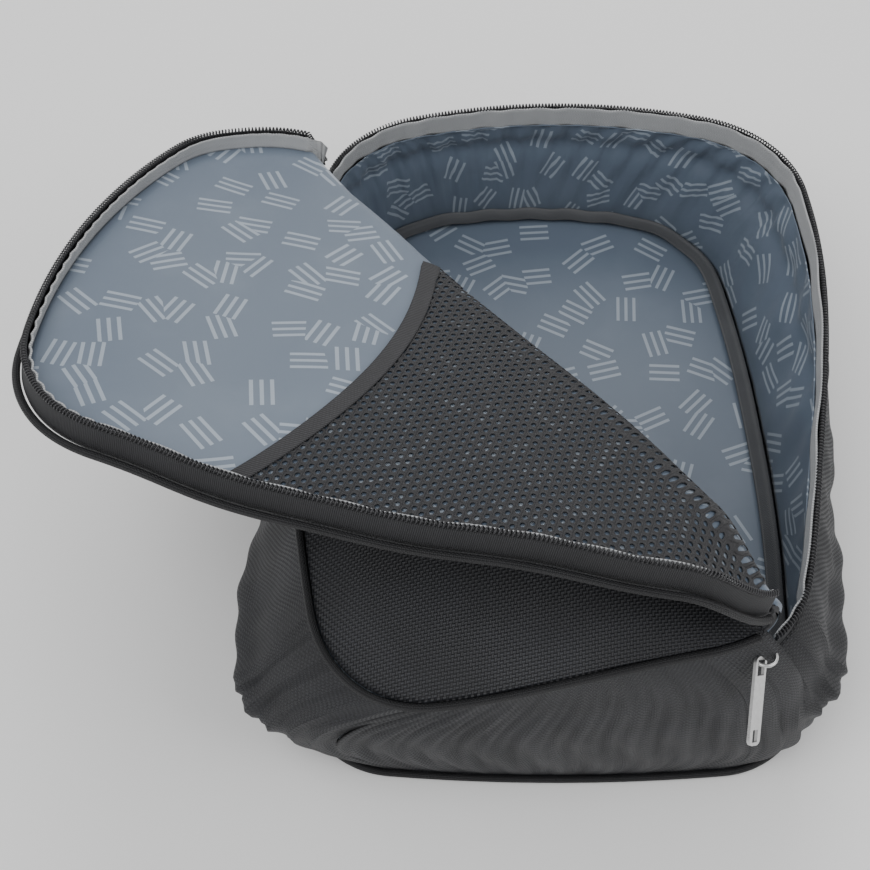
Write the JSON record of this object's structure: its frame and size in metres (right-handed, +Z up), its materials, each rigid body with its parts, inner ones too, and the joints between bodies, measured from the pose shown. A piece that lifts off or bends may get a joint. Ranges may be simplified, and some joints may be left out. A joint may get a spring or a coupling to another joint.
{
  "type": "shoe bag",
  "caption": "Soft rectangular shoe bag lying on its back, zip-round lid folded back diagonally to show a lined inside and a mesh lid pocket.",
  "frame": {"origin": "middle of the back panel's resting face", "axes": "+X to the bag's right, +Y from the near end to the arched far end, +Z up out of the back panel"},
  "size_m": [0.3548, 0.3804, 0.1981],
  "materials": {
    "outer_cloth": "black ballistic basket weave cloth",
    "piping_cloth": "black cloth over cord",
    "foam": "thin sheet foam",
    "board": "flexible stiffener sheet",
    "lining_cloth": "pale blue-grey satin lining with short printed lines",
    "binding_cloth": "pale grey herringbone tape",
    "seam_binding_cloth": "dark grey herringbone tape",
    "zip_tape": "black woven zip tape",
    "zip_coil": "black nylon coil",
    "pocket_mesh_cloth": "black open mesh",
    "elastic": "black ribbed elastic",
    "label_cloth": "white satin label, blank",
    "pull_metal": "bright plated",
    "webbing": "black webbing"
  },
  "bodies": {
    "bag_body": {"back_board": "board", "back_lining": "lining_cloth", "back_panel": "outer_cloth", "back_piping": "piping_cloth", "back_seam_binding": "seam_binding_cloth", "care_label": "label_cloth", "end_gusset": "outer_cloth", "end_lining": "lining_cloth", "handle_patch_left": "outer_cloth", "handle_patch_right": "outer_cloth", "handle_strap": "webbing", "lid_sewn_cloth": "outer_cloth", "lid_sewn_foam": "foam", "lid_sewn_lining": "lining_cloth", "lid_sewn_mesh": "pocket_mesh_cloth", "lid_sewn_piping": "piping_cloth", "rim_binding": "binding_cloth", "rim_zip_coil": "zip_coil", "rim_zip_tape": "zip_tape", "side_gusset": "outer_cloth", "side_lining": "lining_cloth", "zip_top_stop": "zip_tape"},
    "flap": {"flap_binding": "binding_cloth", "flap_cloth": "outer_cloth", "flap_foam": "foam", "flap_lining": "lining_cloth", "flap_piping": "piping_cloth", "flap_zip_coil": "zip_coil", "flap_zip_tape": "zip_tape", "pocket_hem": "elastic", "pocket_mesh": "pocket_mesh_cloth"},
    "slider": {"slider_plate": "pull_metal", "slider_inner_plate": "pull_metal", "slider_bridge": "pull_metal"},
    "pull": {"pull_tab": "pull_metal"}
  },
  "joints": [
    {"name": "lid_fold", "type": "hinge", "parent": "bag_body", "child": "flap", "pos_m": [0.0754, -0.15637, 0.13515], "axis": [0.5878, -0.8059, 0.0705], "range_deg": [-166, 0]},
    {"name": "slider_travel", "type": "hinge", "parent": "bag_body", "child": "slider", "pos_m": [0.0474, -0.10989, 0.11], "axis": [0, 0.0872, 0.9962], "range_deg": [0, 42]},
    {"name": "pull_swing", "type": "hinge", "parent": "slider", "child": "pull", "pos_m": [0.07441, -0.16452, 0.11478], "axis": [0.5, -0.8627, 0.0755], "range_deg": [-40, 40]}
  ]
}
